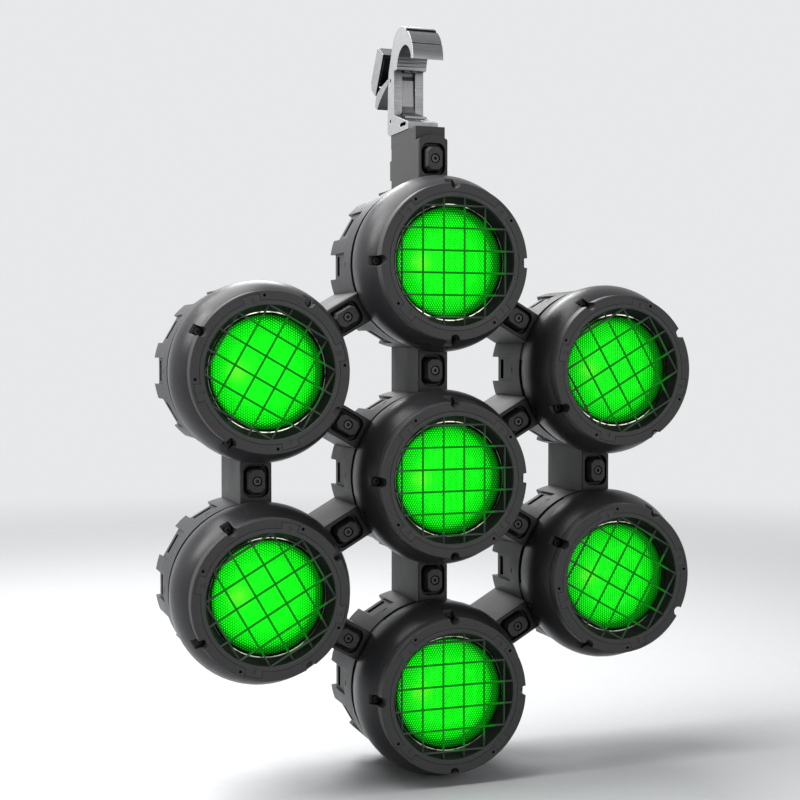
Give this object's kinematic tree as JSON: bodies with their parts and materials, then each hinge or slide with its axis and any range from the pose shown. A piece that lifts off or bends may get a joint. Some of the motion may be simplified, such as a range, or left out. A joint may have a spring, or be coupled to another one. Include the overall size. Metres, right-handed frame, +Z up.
{
  "type": "led par light cluster",
  "caption": "Hexagonal cluster of round LED par heads tied by link blocks, each with a wire guard over a lit lens, hung from a quick hook clamp.",
  "frame": {"origin": "centre of the tube that the hook clamp hangs on, at the middle of the clamp", "axes": "+Z up, -Y the way the lenses face, +X along the tube, to the right seen from the front"},
  "size_m": [0.6394, 0.2463, 0.8948],
  "materials": {
    "housing_paint": "satin powder coat",
    "link_paint": "satin powder coat",
    "guard_wire": "satin",
    "lens": "textured, lit green",
    "rim_metal": "polished",
    "board": "matt",
    "sink": "matt",
    "black_screw": "black oxide",
    "hook_aluminium": "satin",
    "claw_steel": "satin",
    "pin_steel": "satin"
  },
  "bodies": {
    "hook": {"hook_body": "hook_aluminium", "hook_pins": "pin_steel", "hook_bolt": "pin_steel"},
    "trigger": {"hook_claw": "claw_steel", "hook_lever": "hook_aluminium"},
    "array": {"ring_t": "housing_paint", "shell_t": "housing_paint", "drum_t": "housing_paint", "guard_t": "guard_wire", "lens_t": "lens", "ring_ur": "housing_paint", "shell_ur": "housing_paint", "drum_ur": "housing_paint", "guard_ur": "guard_wire", "lens_ur": "lens", "ring_lr": "housing_paint", "shell_lr": "housing_paint", "drum_lr": "housing_paint", "guard_lr": "guard_wire", "lens_lr": "lens", "ring_b": "housing_paint", "shell_b": "housing_paint", "drum_b": "housing_paint", "guard_b": "guard_wire", "lens_b": "lens", "ring_ll": "housing_paint", "shell_ll": "housing_paint", "drum_ll": "housing_paint", "guard_ll": "guard_wire", "lens_ll": "lens", "ring_ul": "housing_paint", "shell_ul": "housing_paint", "drum_ul": "housing_paint", "guard_ul": "guard_wire", "lens_ul": "lens", "ring_c": "housing_paint", "shell_c": "housing_paint", "drum_c": "housing_paint", "guard_c": "guard_wire", "lens_c": "lens", "link_t_ur": "link_paint", "link_ur_lr": "link_paint", "link_lr_b": "link_paint", "link_b_ll": "link_paint", "link_ll_ul": "link_paint", "link_ul_t": "link_paint", "link_t_c": "link_paint", "link_ur_c": "link_paint", "link_lr_c": "link_paint", "link_b_c": "link_paint", "link_ll_c": "link_paint", "link_ul_c": "link_paint", "link_top": "link_paint", "adapter": "link_paint", "lens_rims": "rim_metal", "light_boards": "board", "heat_sinks": "sink", "shell_screws": "black_screw", "link_screws": "black_screw"}
  },
  "joints": [
    {"name": "trigger_hinge", "type": "hinge", "parent": "hook", "child": "trigger", "pos_m": [0, 0.0495, -0.0089], "axis": [-1, 0, 0], "range_deg": [0, 25]},
    {"name": "array_swivel", "type": "hinge", "parent": "hook", "child": "array", "pos_m": [0, 0, -0.0767], "axis": [0, 0, 1], "continuous": true}
  ]
}
